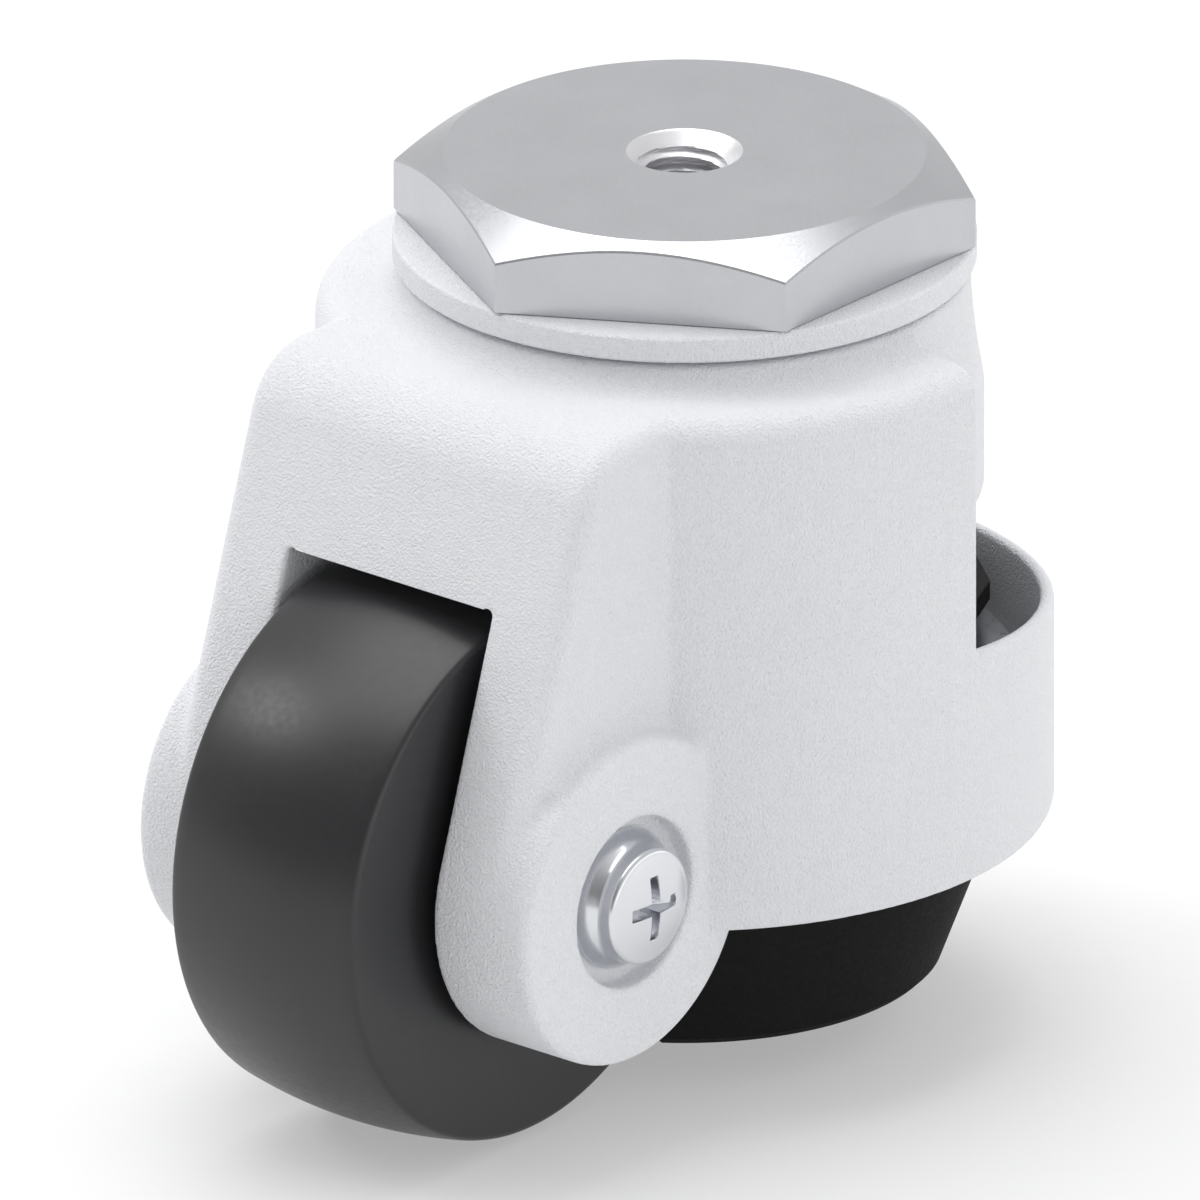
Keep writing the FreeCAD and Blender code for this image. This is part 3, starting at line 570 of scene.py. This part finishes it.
for side, factor in (("right", 1), ("left", -1)):
    sided = [(factor * place, radius) for place, radius in profile]
    place_piece("screw_headed_" + side, turned("screw_headed_" + side, sided, columns), zinc,
                "housing", "axle_screw_" + side, 40)

# %% [markdown]
# ## The threaded spindle
# When the foot is screwed down, 12 mm of the spindle show between the housing and the foot, so
# it needs its real trapezoid thread. It is the same grid of rings as the hole in the hexagon,
# only seen from outside: the crest is the outer radius, and rings below the thread are plain.

# %% Spindle
spindle_y, spindle_outer, spindle_core, spindle_pitch = 11.0, 5.0, 4.1, 2.0
low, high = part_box("spindle")
bottom, top = low.z / MM, high.z / MM
thread_low, thread_high, head_radius, head_thick, bevel = -59.5, top - 1.8, 8.0, 3.0, 0.3
neck, tip_edge, tip_low = 4.4, 4.7, top - 0.6
angle = np.linspace(0, 2 * np.pi, 72, endpoint=False)
rings = [(0.0, bottom), (head_radius - bevel, bottom), (head_radius, bottom + bevel),
         (head_radius, bottom + head_thick), (spindle_outer, bottom + head_thick),
         (spindle_outer, thread_low)]
for height in np.arange(thread_low + 0.1, thread_high, spindle_pitch / 16):
    turn = thread_radius(angle, height, spindle_pitch, spindle_outer, spindle_core)
    fade = min((height - thread_low) / 1.0, 1.0)
    rings.append((spindle_outer + (turn - spindle_outer) * fade, height))
rings += [(neck, thread_high), (neck, tip_low), (spindle_outer - 0.1, tip_low), (tip_edge, top),
          (0.0, top)]
spindle_mesh = upright("spindle_threaded", rings, angle, spindle_y)
place_piece("spindle_threaded", spindle_mesh, threaded, "foot", "spindle", 35)

# %% [markdown]
# ## Camera
# The photograph is a product picture with no visible perspective, so the camera is orthographic.
# It looks down by 22 degrees from 40 degrees to the right of the wheel's plane. One millimetre is
# 11.85 of the picture's 1200 pixels, and the point 2.57 mm under the hexagon's top centre is seen
# 684.6 pixels from the left and 178.7 from the top.

# %% Camera
turn, rise = math.radians(40), math.radians(22.14)
picture_size, pixels_per_mm = 1200, 11.85
seen_point, seen_column, seen_row = np.array([0, 0, -2.57]), 684.6, 178.7
right = np.array([math.cos(turn), math.sin(turn), 0])
back = np.array([math.sin(turn) * math.cos(rise), -math.cos(turn) * math.cos(rise),
                 math.sin(rise)])
up = np.cross(back, right)
target = seen_point + right * (picture_size / 2 - seen_column) / pixels_per_mm
target = target - up * (picture_size / 2 - seen_row) / pixels_per_mm
eye = bpy.data.cameras.new("eye")
eye.type = "ORTHO"
eye.ortho_scale = picture_size / pixels_per_mm * MM
eye.clip_start, eye.clip_end = 0.01, 10
camera = bpy.data.objects.new("camera", eye)
bpy.context.scene.collection.objects.link(camera)
matrix = np.eye(4)
matrix[:3, 0], matrix[:3, 1], matrix[:3, 2] = right, up, back
matrix[:3, 3] = (target + back * 500) * MM
camera.matrix_world = Matrix(matrix.tolist())
bpy.context.scene.camera = camera
print("camera at, mm:", np.round(matrix[:3, 3] / MM, 1))

# %% [markdown]
# ## Floor and light
# The stage is a plain white floor that glows a little, as a lit studio table does. The sky is
# white all round, brighter low on the right and dimmer in front of the castor, so that its front
# is a little darker than its sides. Two large panels stand to the left and above; the left one
# gives the bright place on the hexagon's chamfer.

# %% Floor and lights
reach, level = 6.0, float(cad_low.z) - 0.00002
floor_mesh = bpy.data.meshes.new("floor")
floor_mesh.from_pydata([(-reach, -reach, level), (reach, -reach, level), (reach, reach, level),
                        (-reach, reach, level)], [], [(0, 1, 2, 3)])
floor = bpy.data.objects.new("floor", floor_mesh)
bpy.context.scene.collection.objects.link(floor)
floor_mesh.materials.append(make_finish("studio_floor", (0.56, 0.56, 0.56), 0.85, grain=300,
                                        depth=0.01, wander=0.004, patch=2))
glow = floor_mesh.materials[0].node_tree.nodes["Principled BSDF"]
glow.inputs["Emission Color"].default_value = (1, 1, 1, 1)
glow.inputs["Emission Strength"].default_value = 0.36
floor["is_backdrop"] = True


def soft_lamp(name, place, aim, wide, tall, power):
    """A panel lamp at a place in metres, turned towards an aim."""
    lamp = bpy.data.lights.new(name, "AREA")
    lamp.shape = "RECTANGLE"
    lamp.size, lamp.size_y, lamp.energy = wide, tall, power
    panel = bpy.data.objects.new(name, lamp)
    bpy.context.scene.collection.objects.link(panel)
    z_axis = np.array(place, float) - np.array(aim, float)
    z_axis /= np.linalg.norm(z_axis)
    x_axis = np.cross([0, 0, 1], z_axis)
    x_axis /= np.linalg.norm(x_axis)
    stand = np.eye(4)
    stand[:3, 0], stand[:3, 1], stand[:3, 2] = x_axis, np.cross(z_axis, x_axis), z_axis
    stand[:3, 3] = place
    panel.matrix_world = Matrix(stand.tolist())


castor_middle = (0, 0, -0.04)
soft_lamp("left_panel", (-2.0, -1.05, 1.7), castor_middle, 0.95, 0.65, 13)
soft_lamp("top_panel", (-0.5, 0.0, 2.2), castor_middle, 2.4, 2.0, 35)
print("lamps:", [lamp.name for lamp in bpy.data.lights])

# %% Sky
world = bpy.data.worlds.new("studio")
bpy.context.scene.world = world
world.use_nodes = True
sky = world.node_tree
direction = sky.nodes.new("ShaderNodeTexCoord")
split = sky.nodes.new("ShaderNodeSeparateXYZ")
link(sky, direction, "Generated", split, "Vector")


def sky_band(socket, low, high, value_low, value_high):
    """A smooth change between two values, over the sky's height or to one side."""
    band = sky.nodes.new("ShaderNodeMapRange")
    band.interpolation_type = "SMOOTHSTEP"
    band.inputs["From Min"].default_value = low
    band.inputs["From Max"].default_value = high
    band.inputs["To Min"].default_value = value_low
    band.inputs["To Max"].default_value = value_high
    link(sky, split, socket, band, "Value")
    return band


low_sky = sky_band("Z", 0.06, 0.34, 1.0, 0.0)
from_right = sky_band("X", -0.5, 0.9, 0.0, 1.15)
front_dimmer = sky_band("Y", -1.0, 0.0, 0.34, 1.0)
strength = sky.nodes.new("ShaderNodeMath")
strength.operation = "MULTIPLY_ADD"
strength.inputs[2].default_value = 0.72
link(sky, low_sky, "Result", strength, 0)
link(sky, from_right, "Result", strength, 1)
dimmed = sky.nodes.new("ShaderNodeMath")
dimmed.operation = "MULTIPLY"
link(sky, strength, "Value", dimmed, 0)
link(sky, front_dimmer, "Result", dimmed, 1)
background = sky.nodes["Background"]
link(sky, dimmed, "Value", background, "Strength")
background.inputs["Color"].default_value = (1, 1, 1, 1)
bpy.context.scene.view_settings.view_transform = "Standard"
print("sky strength: 0.72 + low sky x light from the right, times the dimmer of the front")

# %% Write down both boxes and finish
low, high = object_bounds()
print("visual box, mm:", [round((b - a) / MM, 1) for a, b in zip(low, high)])
